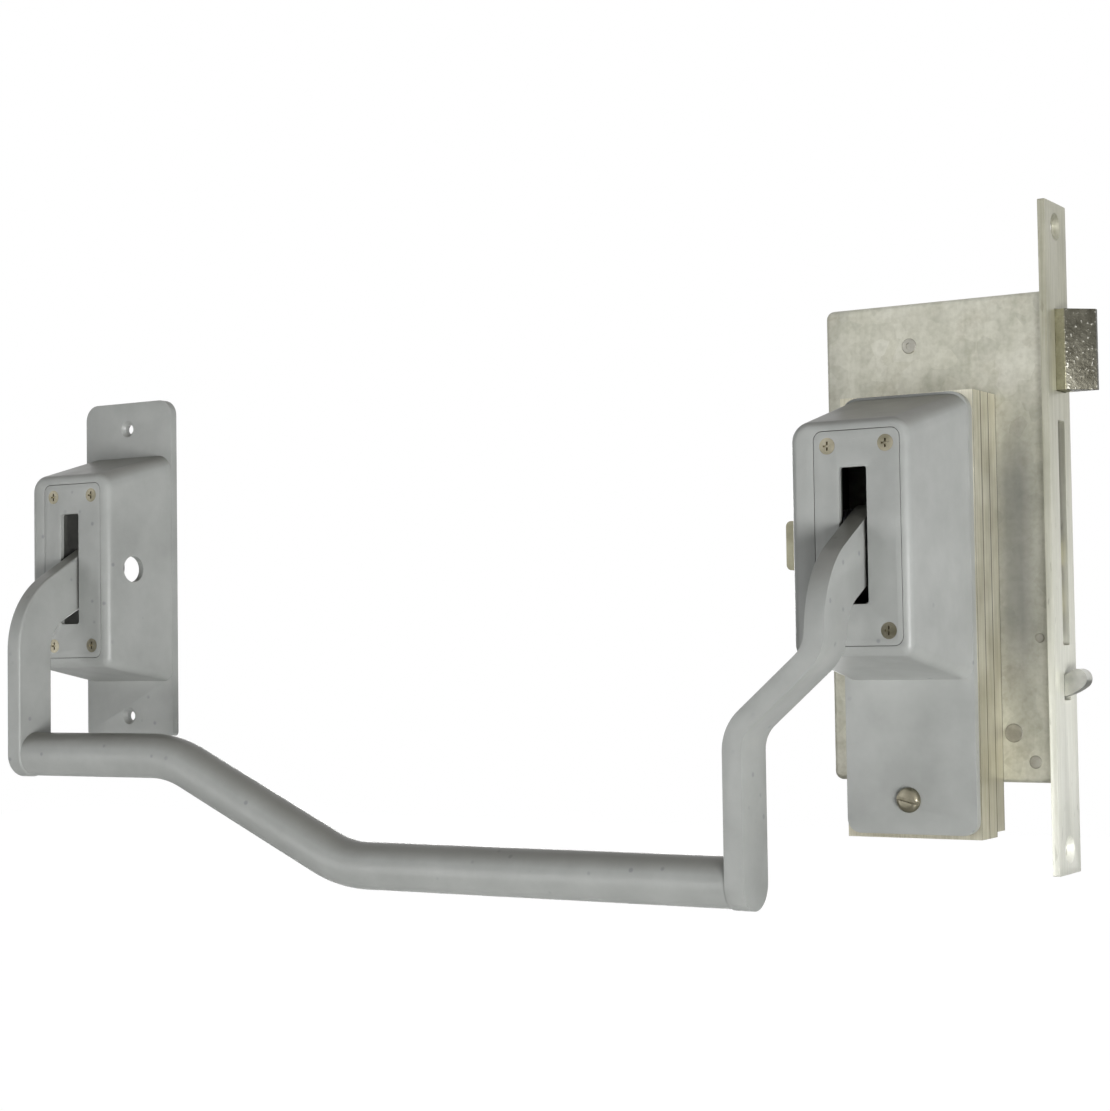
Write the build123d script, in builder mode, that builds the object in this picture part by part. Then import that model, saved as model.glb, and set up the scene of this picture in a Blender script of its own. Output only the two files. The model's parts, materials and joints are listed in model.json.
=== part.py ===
from build123d import *
import os
from math import atan, cos, degrees, radians, sin, tan

# Panic exit lock: a mortise lock case with its forend, a stack of packing plates,
# and a cranked push bar on two arms that pivot in surface housings.
# Millimetres. +X points out of the door edge, +Y into the door, +Z up.
# The origin is the centre of the forend's outer face.

os.makedirs("parts", exist_ok=True)

# Clearances that every fit below is made from
running_gap = 0.05  # radial, shafts that turn in bores
seat_gap = 0.02  # pressed and pinned pieces of one body
slide_gap = 0.3  # flat faces that slide past each other
plate_gap = 0.2  # all round a plate let into a recess

# Forend
forend_length = 235.0
forend_width = 22.2
forend_thickness = 2.5
forend_corner = 0.6
forend_hole_from_end = 8.5
forend_hole_radius = 2.9
forend_sink_radius = 4.9
bolt_line_y = 1.5  # middle of the latch, swing bolt and trigger

# Lock case
case_front_y = -8.7
case_thickness = 18.0
case_sheet = 1.3
case_depth = 82.4
case_height = 171.3
case_fold_radius = 1.8
case_corner = 3.0
case_post_radius = 2.6
case_stud_radius = 1.5
guide_rivet_radius = 2.8
guide_dimple_radius = 1.2
large_rivet_radius = 3.3
small_rivet_radius = 2.3
pin_rivet_radius = 1.7
case_rivet_height = 0.35
fixing_bush_radius = 4.5
fixing_bush_depth = 4.0

# Latch bolt
latch_throw = 12.0
latch_height = 28.4
latch_below_top = 20.25  # its middle under the case's top
latch_front_y = -2.5
latch_thickness = 9.8
latch_flat_strip = 3.2
latch_nose_width = 1.9
latch_head_length = 22.0
latch_tail_end_x = -62.0
latch_tail_height = 15.0
latch_guide_x = -52.2
latch_guide_below_top = 15.35
lever_plate = 3.0  # thickness of the latch tail, follower lever and drive fork lugs

# Drive: handle to spindle to latch
spindle_x = -44.0
press_angle = 7.5  # the handle's travel, degrees
spindle_angle = 24.0  # what it turns the spindle through
follower_lever_radius = 30.0
lever_tip_radius = 3.0
crank_radius = 7.6
ball_radius = 2.9
ball_gap = 0.12
ball_neck_radius = 1.7
spindle_width = 8.0

# Follower
follower_hub_radius = 11.5
follower_journal_radius = 9.0
follower_lug_radius = 18.0
follower_lug_tip = 3.2

# Swing bolt
swing_pivot_x = -14.5
swing_pivot_z = -22.5
swing_bolt_thickness = 6.0
swing_bolt_reach = 50.0
swing_bolt_inset = 2.8  # its edge behind the forend's outer face
swing_bolt_back = 10.5
swing_pin_radius = 3.0
bolt_slot_bottom_z = -38.0
bolt_slot_top_z = 40.7
bolt_slot_width = 7.0

# Trigger
trigger_pivot_x = -6.0
trigger_pivot_z = -35.4
trigger_inner_radius = 14.3
trigger_outer_radius = 21.3
trigger_tip_angle = 54.0  # below the X axis, at the middle of the rounded tip
trigger_root_angle = 116.0
trigger_web_angle = 94.0
trigger_thickness = 6.4
trigger_hub_radius = 3.2
trigger_pin_radius = 2.0
trigger_slot_bottom_z = -57.2
trigger_slot_top_z = -48.0

# Packing plates between the case and the lock-side housing
packing_count = 3
packing_width = 49.5
packing_middle_x = -45.05
packing_top_z = 50.5
packing_bottom_z = -104.1
packing_short_by = 1.8
spindle_hole_radius = 8.0
housing_base_y = -30.5

# Housings, both from one pattern
housing_base_width = 47.8
housing_front_width = 42.8
housing_front_x = -0.8  # middle of the front face from the middle of the base
housing_front_z = -1.6
housing_wall = 2.5
housing_front_wall = 5.0
housing_flange = 3.5
housing_top_corner = 7.0
housing_bottom_corner = 4.2
housing_edge_radius = 3.4
housing_front_y = -79.4
access_hole_radius = 5.4
access_hole_z = -1.2
lock_housing_x = -44.6
lock_flange_corner = 5.0
lock_flange_bottom_z = -102.5
lock_base_half_height = 49.9
lock_front_half_height = 38.9
hinge_housing_x = -393.9
hinge_base_y = -40.8
hinge_flange_half_height = 70.8
hinge_flange_top_corner = 6.5
hinge_flange_bottom_corner = 2.0
hinge_base_half_height = 48.3
hinge_front_half_height = 39.4
hinge_hole_pitch = 122.0
hinge_hole_middle_z = -1.3
hinge_hole_radius = 2.1
hinge_sink_radius = 3.5

# Slotted cover plates in the housings' fronts
cover_width = 30.6
cover_height = 71.4
cover_thickness = 2.0
cover_corner = 3.0
cover_offset_x = 1.5
slot_width = 9.9
slot_height = 45.4
slot_middle_z = -0.8
slot_corner = 1.0
cover_screw_x = 10.4
cover_screw_z = 30.8
cover_screw_radius = 1.5
cover_screw_head = 2.8
cover_screw_length = 6.0
cover_boss_height = 3.0
recess_width = 0.7
recess_depth = 1.0
front_opening_width = 11.8
front_opening_height = 64.8

# Arms and push bar
arm_pivot_y = -65.4
arm_pivot_z = 0.0
lock_arm_x = -44.0
hinge_arm_x = -394.4
arm_thickness = 7.0
arm_leg_width = 18.0
arm_leg_y = -102.6
arm_hub_radius = 10.0
arm_top_slope = 29.0
arm_bottom_slope = 27.5
arm_outer_bend = 34.0
arm_inner_bend = 14.0
arm_edge = 1.0
joggle_top_z = -38.5
joggle_bottom_z = -64.5
joggle_shift = -30.0
joggle_bend_radius = 14.0
bar_diameter = 17.2
bar_wall = 2.3
bar_bend_radius = 45.0
bar_high_z = -75.6
bar_low_z = -114.0
bar_bend_high_x = -318.7
bar_bend_low_x = -236.5

# Pivot parts
axle_radius = 4.0
bush_radius = 5.5
bush_flange_radius = 7.0
bush_flange = 0.9
cheek_thickness = 4.0
cheek_radius = 8.0
lock_cheek_gap = 11.7  # from the arm's middle to a cheek
hinge_cheek_gap = 6.0
hub_tube_radius = 6.2
circlip_thickness = 1.0
circlip_radius = 6.4
circlip_groove_depth = 0.5
axle_tail = 0.95
fork_thickness = 4.6
fork_hub_radius = 8.0
fork_prong = 3.6
fork_reach = 26.0
drive_pin_radius = 1.25
drive_pin_half_length = 7.6

# Bearing plate, crank and through fixings
bearing_plate = 3.5
bearing_boss_radius = 4.5
bearing_boss_x = 17.0
bearing_boss_z = 40.5
bearing_boss_depth = 12.0
bearing_screw_radius = 1.5
bearing_screw_head = 2.9
bearing_screw_length = 10.0
crank_thickness = 4.0
crank_disc_radius = 13.0
crank_journal_radius = 8.5
fixing_pitch = 52.0
fixing_radius = 2.5
fixing_head_radius = 4.4
fixing_head_height = 3.0
fixing_socket_depth = 1.8
flange_screw_x = -45.4
flange_screw_z = -90.7
flange_screw_head = 4.4
flange_screw_height = 2.2
flange_screw_dome = 2.0
flange_screw_slot = 1.3
flange_screw_turn = -14

# Springs
latch_spring_radius = 3.6
latch_spring_wire = 0.5
latch_spring_turns = 6
follower_spring_radius = 3.2
follower_spring_wire = 0.55
follower_spring_turns = 5
follower_spring_foot_z = -26.0
return_spring_radius = 8.15
return_spring_wire = 0.7
return_spring_turns = 3.5
return_spring_leg = 21.0
leg_root = 0.3  # how far a leg runs into its coil
leg_step = 0.05  # a leg's wire is drawn this much thinner in radius
trigger_spring_radius = 2.9
trigger_spring_wire = 0.4
trigger_spring_turns = 2.5
trigger_spring_length = 3.0
trigger_spring_leg = 9.6

# Side lug
lug_end_x = -92.0
lug_inner_x = -57.0
lug_height = 17.7
lug_thickness = 3.0
lug_middle_z = -0.9
lug_corner = 2.0

# Places worked out from the sizes above
forend_inner_x = -forend_thickness
forend_hole_pitch = forend_length - 2 * forend_hole_from_end
latch_middle_z = case_height / 2 - latch_below_top
latch_guide_z = case_height / 2 - latch_guide_below_top
case_bottom_z = -case_height / 2
case_back_x = forend_inner_x - case_depth
case_rear_y = case_front_y + case_thickness
case_inner_front_y = case_front_y + case_sheet
case_inner_rear_y = case_rear_y - case_sheet
packing_depth = case_front_y - housing_base_y
packing_thickness = packing_depth / packing_count
ball_distance = crank_radius * sin(radians(spindle_angle / 2)) / tan(radians(press_angle / 2))
ball_y = arm_pivot_y + ball_distance
plate_front_y = housing_base_y - bearing_plate
crank_back_y = plate_front_y - slide_gap
crank_front_y = crank_back_y - crank_thickness
lever_front_y = bolt_line_y - lever_plate / 2
lever_rear_y = bolt_line_y + lever_plate / 2


def door_plane(y):
    """A plane parallel to the door at depth y. Its normal points into the room."""
    return Plane.XZ.offset(-y)


def side_plane(x):
    """An upright plane at x. Its normal points out of the door edge."""
    return Plane.YZ.offset(x)


def around(centre, radius, angle):
    """The point at this radius and angle, in degrees, about a centre."""
    return (centre[0] + radius * cos(radians(angle)), centre[1] + radius * sin(radians(angle)))


def export(piece, name):
    """Label a finished piece and write it to its own file."""
    piece.part.label = name
    export_step(piece.part, f"parts/{name}.step")


# Posts that hold the case and its cover apart. The first one guides the latch tail,
# the last one lies under the packing plates.
case_posts_at = [
    (latch_guide_x, latch_guide_z),
    (-16.2, case_bottom_z + 17.25),
    (-8.5, case_bottom_z + 7.25),
    (-60.0, case_bottom_z + 15.65),
]
fixings_at = [
    (spindle_x, fixing_pitch / 2),
    (spindle_x, -fixing_pitch / 2),
]
arm_pivot = (arm_pivot_y, arm_pivot_z)
spindle_hole = spindle_width + 2 * seat_gap
swing_at = (swing_pivot_x, swing_pivot_z)
trigger_at = (trigger_pivot_x, trigger_pivot_z)
latch_middle_y = latch_front_y + latch_thickness / 2

# Forend: strip with countersunk end holes and openings for the three bolts
with BuildPart() as forend_plate:
    with BuildSketch(side_plane(forend_inner_x)):
        RectangleRounded(forend_width, forend_length, forend_corner)
    extrude(amount=forend_thickness)
    with Locations(side_plane(0)):
        with Locations((0, forend_hole_pitch / 2), (0, -forend_hole_pitch / 2)):
            CounterSinkHole(forend_hole_radius, forend_sink_radius, counter_sink_angle=90)
    with BuildSketch(side_plane(0)):
        with Locations((latch_middle_y, latch_middle_z)):
            Rectangle(latch_thickness + 2 * slide_gap, latch_height + 2 * slide_gap)
        with Locations((bolt_line_y, (bolt_slot_top_z + bolt_slot_bottom_z) / 2)):
            RectangleRounded(bolt_slot_width, bolt_slot_top_z - bolt_slot_bottom_z, 1.0)
        with Locations((bolt_line_y, (trigger_slot_top_z + trigger_slot_bottom_z) / 2)):
            RectangleRounded(
                trigger_thickness + 2 * slide_gap,
                trigger_slot_top_z - trigger_slot_bottom_z,
                1.0,
            )
    extrude(amount=-forend_thickness, mode=Mode.SUBTRACT)

# Lock case: a folded sheet tray, open to the forend and to its cover
case_middle_x = forend_inner_x - case_depth / 2
with BuildPart() as lock_case:
    with BuildSketch(door_plane(case_front_y)):
        with Locations((case_middle_x, 0)):
            Rectangle(case_depth, case_height)
    extrude(amount=-(case_thickness - case_sheet))
    fillet(lock_case.edges().filter_by(Axis.Y).group_by(Axis.X)[0], radius=case_corner)
    face_edges = lock_case.edges().group_by(Axis.Y)[0]
    fillet(face_edges.sort_by(Axis.X)[:-1], radius=case_fold_radius)
    rear_and_edge = [
        lock_case.faces().sort_by(Axis.Y)[-1],
        lock_case.faces().sort_by(Axis.X)[-1],
    ]
    offset(amount=-case_sheet, openings=rear_and_edge)
    with Locations(door_plane(case_front_y)):
        with Locations((spindle_x, 0)):
            Hole(follower_journal_radius + running_gap, depth=3 * case_sheet)
        with Locations(*case_posts_at[:-1], trigger_at):
            Hole(case_stud_radius, depth=3 * case_sheet)
    with BuildSketch(door_plane(case_inner_front_y)):
        with Locations(*fixings_at):
            Circle(fixing_bush_radius)
    extrude(amount=-fixing_bush_depth)
    with BuildSketch(door_plane(case_front_y)):
        with Locations(*fixings_at):
            Circle(fixing_radius + seat_gap)
    extrude(amount=-(case_sheet + fixing_bush_depth), mode=Mode.SUBTRACT)

# Case cover: the flat rear plate
with BuildPart() as case_cover:
    with BuildSketch(door_plane(case_inner_rear_y)):
        with Locations((case_middle_x, 0)):
            Rectangle(case_depth, case_height)
        with Locations((spindle_x, 0)):
            Circle(follower_journal_radius + running_gap, mode=Mode.SUBTRACT)
        with Locations(*case_posts_at, swing_at, trigger_at):
            Circle(case_stud_radius, mode=Mode.SUBTRACT)
    extrude(amount=-case_sheet)
    fillet(case_cover.edges().filter_by(Axis.Y).group_by(Axis.X)[0], radius=case_corner)


def riveted_post(centre, body_radius, rivet_radius, dimple=0.0, blind=False):
    """A shouldered post between case and cover, riveted over outside. A blind one
    is riveted in the cover only."""
    middle_y = (case_front_y + case_rear_y) / 2
    ends = [(case_rear_y, -1)] if blind else [(case_rear_y, -1), (case_front_y, 1)]
    with BuildPart() as post:
        with BuildSketch(door_plane(middle_y)):
            with Locations(centre):
                Circle(body_radius)
        extrude(amount=case_thickness / 2 - case_sheet, both=True)
        for face_y, outward in ends:
            with BuildSketch(door_plane(middle_y)):
                with Locations(centre):
                    Circle(case_stud_radius - seat_gap)
            extrude(amount=outward * case_thickness / 2)
            with BuildSketch(door_plane(face_y)):
                with Locations(centre):
                    Circle(rivet_radius)
            extrude(amount=outward * case_rivet_height, taper=40)
        if dimple:
            with BuildSketch(door_plane(case_front_y - case_rivet_height)):
                with Locations(centre):
                    Circle(dimple)
            extrude(amount=-case_rivet_height, mode=Mode.SUBTRACT)
    return post


guide_at, large_at, small_at, hidden_at = case_posts_at
posts = [
    riveted_post(guide_at, case_post_radius, guide_rivet_radius, dimple=guide_dimple_radius),
    riveted_post(large_at, case_post_radius, large_rivet_radius),
    riveted_post(small_at, case_post_radius, small_rivet_radius),
    riveted_post(hidden_at, case_post_radius, small_rivet_radius, blind=True),
]
with BuildPart() as case_posts:
    for post in posts:
        add(post.part)

swing_bolt_pin = riveted_post(swing_at, swing_pin_radius, pin_rivet_radius, blind=True)
trigger_pin = riveted_post(trigger_at, trigger_pin_radius, pin_rivet_radius)

# Latch bolt: bevelled head, slotted tail plate and the leg that the follower pulls
tip_x = spindle_x + follower_lever_radius * sin(radians(spindle_angle / 2))
tip_z = follower_lever_radius * cos(radians(spindle_angle / 2))
latch_rear_y = latch_front_y + latch_thickness
latch_travel = 2 * (tip_x - spindle_x)
leg_half_width = lever_tip_radius + slide_gap + 3.2
leg_bottom_z = tip_z - 2.0
with BuildPart() as latch_bolt:
    with BuildSketch(Plane.XY.offset(latch_middle_z)):
        with BuildLine():
            Polyline(
                (-latch_head_length, latch_front_y),
                (latch_flat_strip, latch_front_y),
                (latch_throw, latch_rear_y - latch_nose_width),
                (latch_throw, latch_rear_y),
                (-latch_head_length, latch_rear_y),
                close=True,
            )
        make_face()
    extrude(amount=latch_height / 2, both=True)
    with BuildSketch(door_plane(bolt_line_y)):
        with BuildLine():
            Polyline(
                (-latch_head_length, latch_guide_z + latch_tail_height / 2),
                (latch_tail_end_x, latch_guide_z + latch_tail_height / 2),
                (latch_tail_end_x, latch_guide_z - latch_tail_height / 2),
                (tip_x - leg_half_width, latch_guide_z - latch_tail_height / 2),
                (tip_x - leg_half_width, leg_bottom_z),
                (tip_x + leg_half_width, leg_bottom_z),
                (tip_x + leg_half_width, latch_guide_z - latch_tail_height / 2),
                (-latch_head_length, latch_guide_z - latch_tail_height / 2),
                close=True,
            )
        make_face()
        guide_slot = 2 * (case_post_radius + slide_gap)
        with Locations((latch_guide_x + latch_travel / 2, latch_guide_z)):
            SlotOverall(latch_travel + 1.2 + guide_slot, guide_slot, mode=Mode.SUBTRACT)
        with Locations((tip_x, tip_z)):
            Rectangle(2 * (lever_tip_radius + 0.15), 11.0, mode=Mode.SUBTRACT)
    extrude(amount=lever_plate / 2, both=True)
    with BuildSketch(side_plane(latch_tail_end_x)):
        with Locations((bolt_line_y, latch_guide_z)):
            Circle(lever_plate / 2)
    extrude(amount=-7.0)

# Follower: round hub in the case walls, lever up to the latch, lug to its spring
lever_angle = 90 - spindle_angle / 2
lug_angle = 180 - spindle_angle / 2
lever_tip_at = around((spindle_x, 0), follower_lever_radius, lever_angle)
lug_tip_at = around((spindle_x, 0), follower_lug_radius, lug_angle)
with BuildPart() as follower:
    with BuildSketch(door_plane(bolt_line_y)):
        with Locations((spindle_x, 0)):
            Circle(follower_hub_radius)
        for tip, radius in ((lever_tip_at, lever_tip_radius), (lug_tip_at, follower_lug_tip)):
            with Locations(tip):
                Circle(radius)
            with BuildLine():
                Line((spindle_x, 0), tip)
            trace(line_width=3.6)
    extrude(amount=lever_plate / 2, both=True)
    with BuildSketch(door_plane(case_front_y)):
        with Locations((spindle_x, 0)):
            Circle(follower_journal_radius)
    extrude(amount=-case_thickness)
    with BuildSketch(door_plane(case_inner_front_y + slide_gap)):
        with Locations((spindle_x, 0)):
            Circle(follower_hub_radius)
    extrude(amount=-(case_thickness - 2 * case_sheet - 2 * slide_gap))
    with BuildSketch(door_plane(case_front_y)):
        with Locations((spindle_x, 0)):
            Rectangle(spindle_hole, spindle_hole)
    extrude(amount=-case_thickness, mode=Mode.SUBTRACT)

# Spring seat for the follower, riveted inside the case
follower_spring_x = lug_tip_at[0]
with BuildPart() as spring_seat:
    with BuildSketch(door_plane(case_inner_front_y)):
        with Locations((follower_spring_x, follower_spring_foot_z - 1.5)):
            Rectangle(11.0, 3.0)
        with Locations((follower_spring_x, follower_spring_foot_z - 8.0)):
            Rectangle(11.0, 10.0)
    extrude(amount=-1.5)
    with BuildSketch(door_plane(case_inner_front_y)):
        with Locations((follower_spring_x, follower_spring_foot_z - 1.0)):
            Rectangle(11.0, 2.0)
    extrude(amount=-13.5)

# Swing bolt: heel on its pin, blade that swings out through the long slot
heel_radius = -swing_bolt_inset - swing_pivot_x
blade_top_z = swing_pivot_z + swing_bolt_reach
with BuildPart() as swing_bolt:
    with BuildSketch(door_plane(bolt_line_y)):
        with Locations(swing_at):
            Circle(heel_radius)
        with BuildLine():
            Polyline(
                (swing_pivot_x - swing_bolt_back, swing_pivot_z),
                (swing_pivot_x - swing_bolt_back, blade_top_z - 5.0),
                (swing_pivot_x - swing_bolt_back + 5.0, blade_top_z),
                (-swing_bolt_inset - 6.5, blade_top_z),
                (-swing_bolt_inset - 6.5, swing_pivot_z + 26.0),
                (-swing_bolt_inset, swing_pivot_z + 21.0),
                (-swing_bolt_inset, swing_pivot_z + 1.08 * heel_radius),
                (-swing_bolt_inset - 5.0, swing_pivot_z + 0.82 * heel_radius),
                (swing_pivot_x, swing_pivot_z),
                close=True,
            )
        make_face()
        with Locations(swing_at):
            Circle(swing_pin_radius + running_gap, mode=Mode.SUBTRACT)
    extrude(amount=swing_bolt_thickness / 2, both=True)

# Detent leaf that bears on the swing bolt's heel
leaf_x = swing_pivot_x - heel_radius - 1.6
with BuildPart() as detent_leaf:
    with BuildSketch(door_plane(case_inner_front_y)):
        with BuildLine():
            FilletPolyline(
                (leaf_x - 7.0, swing_pivot_z - 24.0),
                (leaf_x - 0.6, swing_pivot_z - 24.0),
                (leaf_x + 0.4, swing_pivot_z),
                (leaf_x - 1.2, swing_pivot_z + 7.0),
                radius=1.5,
            )
        trace(line_width=0.8)
    extrude(amount=-12.0)

# Trigger: curved finger on a web, swinging about its pin
finger_radius = (trigger_inner_radius + trigger_outer_radius) / 2
finger_half_width = (trigger_outer_radius - trigger_inner_radius) / 2
with BuildPart() as trigger:
    with BuildSketch(door_plane(bolt_line_y)):
        with BuildLine():
            CenterArc(trigger_at, finger_radius, -trigger_tip_angle, trigger_tip_angle - trigger_root_angle)
        trace(line_width=2 * finger_half_width)
        with Locations(around(trigger_at, finger_radius, -trigger_tip_angle)):
            Circle(finger_half_width)
        with Locations(trigger_at):
            Circle(trigger_hub_radius)
        with BuildLine():
            Polyline(
                trigger_at,
                around(trigger_at, finger_radius, -trigger_web_angle),
                around(trigger_at, finger_radius, -trigger_root_angle),
                close=True,
            )
        make_face()
        with Locations(trigger_at):
            Circle(trigger_pin_radius + running_gap, mode=Mode.SUBTRACT)
        with Locations((trigger_pivot_x - trigger_spring_radius, trigger_pivot_z - trigger_spring_leg)):
            Circle(trigger_spring_wire + 0.1, mode=Mode.SUBTRACT)
    extrude(amount=trigger_thickness / 2, both=True)


# Packing plates: they fill the door's half thickness between case and housing
packing_plates = []
for index in range(packing_count):
    front_y = housing_base_y + index * packing_thickness
    bottom_z = packing_bottom_z + (packing_short_by if index == packing_count - 1 else 0)
    with BuildPart() as plate:
        with BuildSketch(door_plane(front_y)):
            with Locations((packing_middle_x, (packing_top_z + bottom_z) / 2)):
                Rectangle(packing_width, packing_top_z - bottom_z)
            with Locations((spindle_x, 0)):
                Circle(spindle_hole_radius, mode=Mode.SUBTRACT)
            with Locations(*fixings_at, (flange_screw_x, flange_screw_z)):
                Circle(fixing_radius + seat_gap, mode=Mode.SUBTRACT)
        extrude(amount=-packing_thickness)
        if index == 0:
            with BuildSketch(door_plane(front_y)):
                with Locations(((lug_end_x + lug_inner_x) / 2, lug_middle_z)):
                    Rectangle(lug_inner_x - lug_end_x, lug_height + 2 * plate_gap)
            extrude(amount=-lug_thickness, mode=Mode.SUBTRACT)
    packing_plates.append(plate)

# Side lug: flat strip let into the front packing plate
with BuildPart() as side_lug:
    with BuildSketch(door_plane(housing_base_y)):
        with Locations(((lug_end_x + lug_inner_x - plate_gap) / 2, lug_middle_z)):
            RectangleRounded(lug_inner_x - lug_end_x - plate_gap, lug_height, lug_corner)
    extrude(amount=-lug_thickness)


def housing_block(base_y, front_y, base_box, front_box, top_corner, bottom_corner):
    """The tapered block that stands on the door. A box is left, right, bottom, top."""
    base_left, base_right, base_bottom, base_top = base_box
    front_left, front_right, front_bottom, front_top = front_box
    with BuildPart() as block:
        with BuildSketch(side_plane(base_left)):
            with BuildLine():
                Polyline(
                    (base_y, base_top),
                    (front_y, front_top),
                    (front_y, front_bottom),
                    (base_y, base_bottom),
                    close=True,
                )
            make_face()
        extrude(amount=base_right - base_left)
        with BuildSketch(Plane.XY.offset(base_bottom)):
            with BuildLine():
                Polyline(
                    (base_left, base_y),
                    (front_left, front_y),
                    (front_right, front_y),
                    (base_right, base_y),
                    close=True,
                )
            make_face()
        extrude(amount=base_top - base_bottom, mode=Mode.INTERSECT)
        middle_y = (base_y + front_y) / 2
        sloping = block.edges().filter_by(lambda edge: abs(edge.center().Y - middle_y) < 1)
        fillet(sloping.sort_by(Axis.Z)[-2:], radius=top_corner)
        sloping = block.edges().filter_by(lambda edge: abs(edge.center().Y - middle_y) < 1)
        fillet(sloping.sort_by(Axis.Z)[:2], radius=bottom_corner)
    return block


def box_at(middle_x, middle_z, half_width, half_height):
    """Left, right, bottom and top of a rectangle from its middle."""
    return (
        middle_x - half_width,
        middle_x + half_width,
        middle_z - half_height,
        middle_z + half_height,
    )


def cover_screw_places(arm_x):
    """The four cover screws of one housing, as X and Z."""
    cover_x = arm_x + cover_offset_x
    return [
        (cover_x + i * cover_screw_x, housing_front_z + k * cover_screw_z)
        for i in (-1, 1)
        for k in (-1, 1)
    ]


def housing(x, arm_x, base_y, halves, flange_span, flange_corners, cheek_gap, hole_side):
    """A cast housing: tapered shell, flange, recess for the cover, pivot cheeks. Halves
    are the block's half heights at base and front, spans and corners bottom first."""
    base_half, front_half = halves
    outer = housing_block(
        base_y,
        housing_front_y,
        box_at(x, 0, housing_base_width / 2, base_half),
        box_at(x + housing_front_x, housing_front_z, housing_front_width / 2, front_half),
        housing_top_corner,
        housing_bottom_corner,
    )
    inner_front_y = housing_front_y + housing_front_wall
    share = (base_y - inner_front_y) / (base_y - housing_front_y)
    inner_base = housing_base_width / 2 - housing_wall
    inner_front = inner_base - share * (housing_base_width - housing_front_width) / 2
    inner = housing_block(
        base_y,
        inner_front_y,
        box_at(x, 0, inner_base, base_half - housing_wall),
        box_at(
            x + share * housing_front_x,
            share * housing_front_z,
            inner_front,
            base_half - housing_wall - share * (base_half - front_half),
        ),
        housing_top_corner - housing_wall,
        housing_bottom_corner - housing_wall,
    )
    with BuildPart() as body:
        add(outer.part)
        fillet(body.edges().group_by(Axis.Y)[0], radius=housing_edge_radius)
        with BuildSketch(door_plane(base_y)) as flange:
            with Locations((x, (flange_span[0] + flange_span[1]) / 2)):
                Rectangle(housing_base_width, flange_span[1] - flange_span[0])
            fillet(flange.vertices().group_by(Axis.Y)[0], flange_corners[0])
            fillet(flange.vertices().group_by(Axis.Y)[-1], flange_corners[1])
        extrude(amount=housing_flange)
        add(inner.part, mode=Mode.SUBTRACT)
        with BuildSketch(door_plane(housing_front_y)):
            with Locations((arm_x + cover_offset_x, housing_front_z)):
                RectangleRounded(
                    cover_width + 2 * plate_gap, cover_height + 2 * plate_gap, cover_corner + plate_gap
                )
        extrude(amount=-cover_thickness, mode=Mode.SUBTRACT)
        for side in (-1, 1):
            with BuildSketch(side_plane(arm_x + side * cheek_gap)):
                with BuildLine():
                    Polyline(
                        (inner_front_y - 1.0, arm_pivot_z - cheek_radius),
                        (arm_pivot_y, arm_pivot_z - cheek_radius),
                        (arm_pivot_y, arm_pivot_z + cheek_radius),
                        (inner_front_y - 1.0, arm_pivot_z + cheek_radius),
                        close=True,
                    )
                make_face()
                with Locations(arm_pivot):
                    Circle(cheek_radius)
            extrude(amount=side * cheek_thickness)
            with BuildSketch(side_plane(arm_x + side * cheek_gap)):
                with Locations(arm_pivot):
                    Circle(bush_radius + seat_gap)
            extrude(amount=side * cheek_thickness, mode=Mode.SUBTRACT)
        with BuildSketch(door_plane(inner_front_y)):
            with Locations(*cover_screw_places(arm_x)):
                Circle(2 * cover_screw_radius)
        extrude(amount=-cover_boss_height)
        with BuildSketch(door_plane(housing_front_y)):
            with Locations((arm_x, housing_front_z)):
                Rectangle(front_opening_width, front_opening_height)
            with Locations(*cover_screw_places(arm_x)):
                Circle(cover_screw_radius + seat_gap)
        extrude(amount=-(housing_front_wall + cover_boss_height), mode=Mode.SUBTRACT)
        with BuildSketch(side_plane(x + hole_side * (housing_front_width / 2 - 2 * housing_wall))):
            with Locations((arm_pivot_y, access_hole_z)):
                Circle(access_hole_radius)
        extrude(amount=hole_side * 4 * housing_wall, mode=Mode.SUBTRACT)
    return body


lock_shell = housing(
    lock_housing_x, lock_arm_x, housing_base_y,
    (lock_base_half_height, lock_front_half_height),
    (lock_flange_bottom_z, lock_base_half_height),
    (lock_flange_corner, housing_top_corner),
    lock_cheek_gap, -1,
)
hinge_shell = housing(
    hinge_housing_x, hinge_arm_x, hinge_base_y,
    (hinge_base_half_height, hinge_front_half_height),
    (-hinge_flange_half_height, hinge_flange_half_height),
    (hinge_flange_bottom_corner, hinge_flange_top_corner),
    hinge_cheek_gap, 1,
)

# Lock-side housing: the cast shell with bosses for its bearing plate
bearing_screws_at = [
    (lock_housing_x + i * bearing_boss_x, k * bearing_boss_z) for i in (-1, 1) for k in (-1, 1)
]
flange_screw_at = (flange_screw_x, flange_screw_z)
with BuildPart() as lock_side_housing:
    add(lock_shell.part)
    with BuildSketch(door_plane(plate_front_y)):
        with Locations(*bearing_screws_at):
            Circle(bearing_boss_radius)
    extrude(amount=bearing_boss_depth)
    with BuildSketch(door_plane(plate_front_y)):
        with Locations(*bearing_screws_at):
            Circle(bearing_screw_radius + seat_gap)
    extrude(amount=bearing_screw_length, mode=Mode.SUBTRACT)
    with BuildSketch(door_plane(housing_base_y)):
        with Locations(flange_screw_at):
            Circle(fixing_radius + seat_gap)
    extrude(amount=housing_flange, mode=Mode.SUBTRACT)

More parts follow.
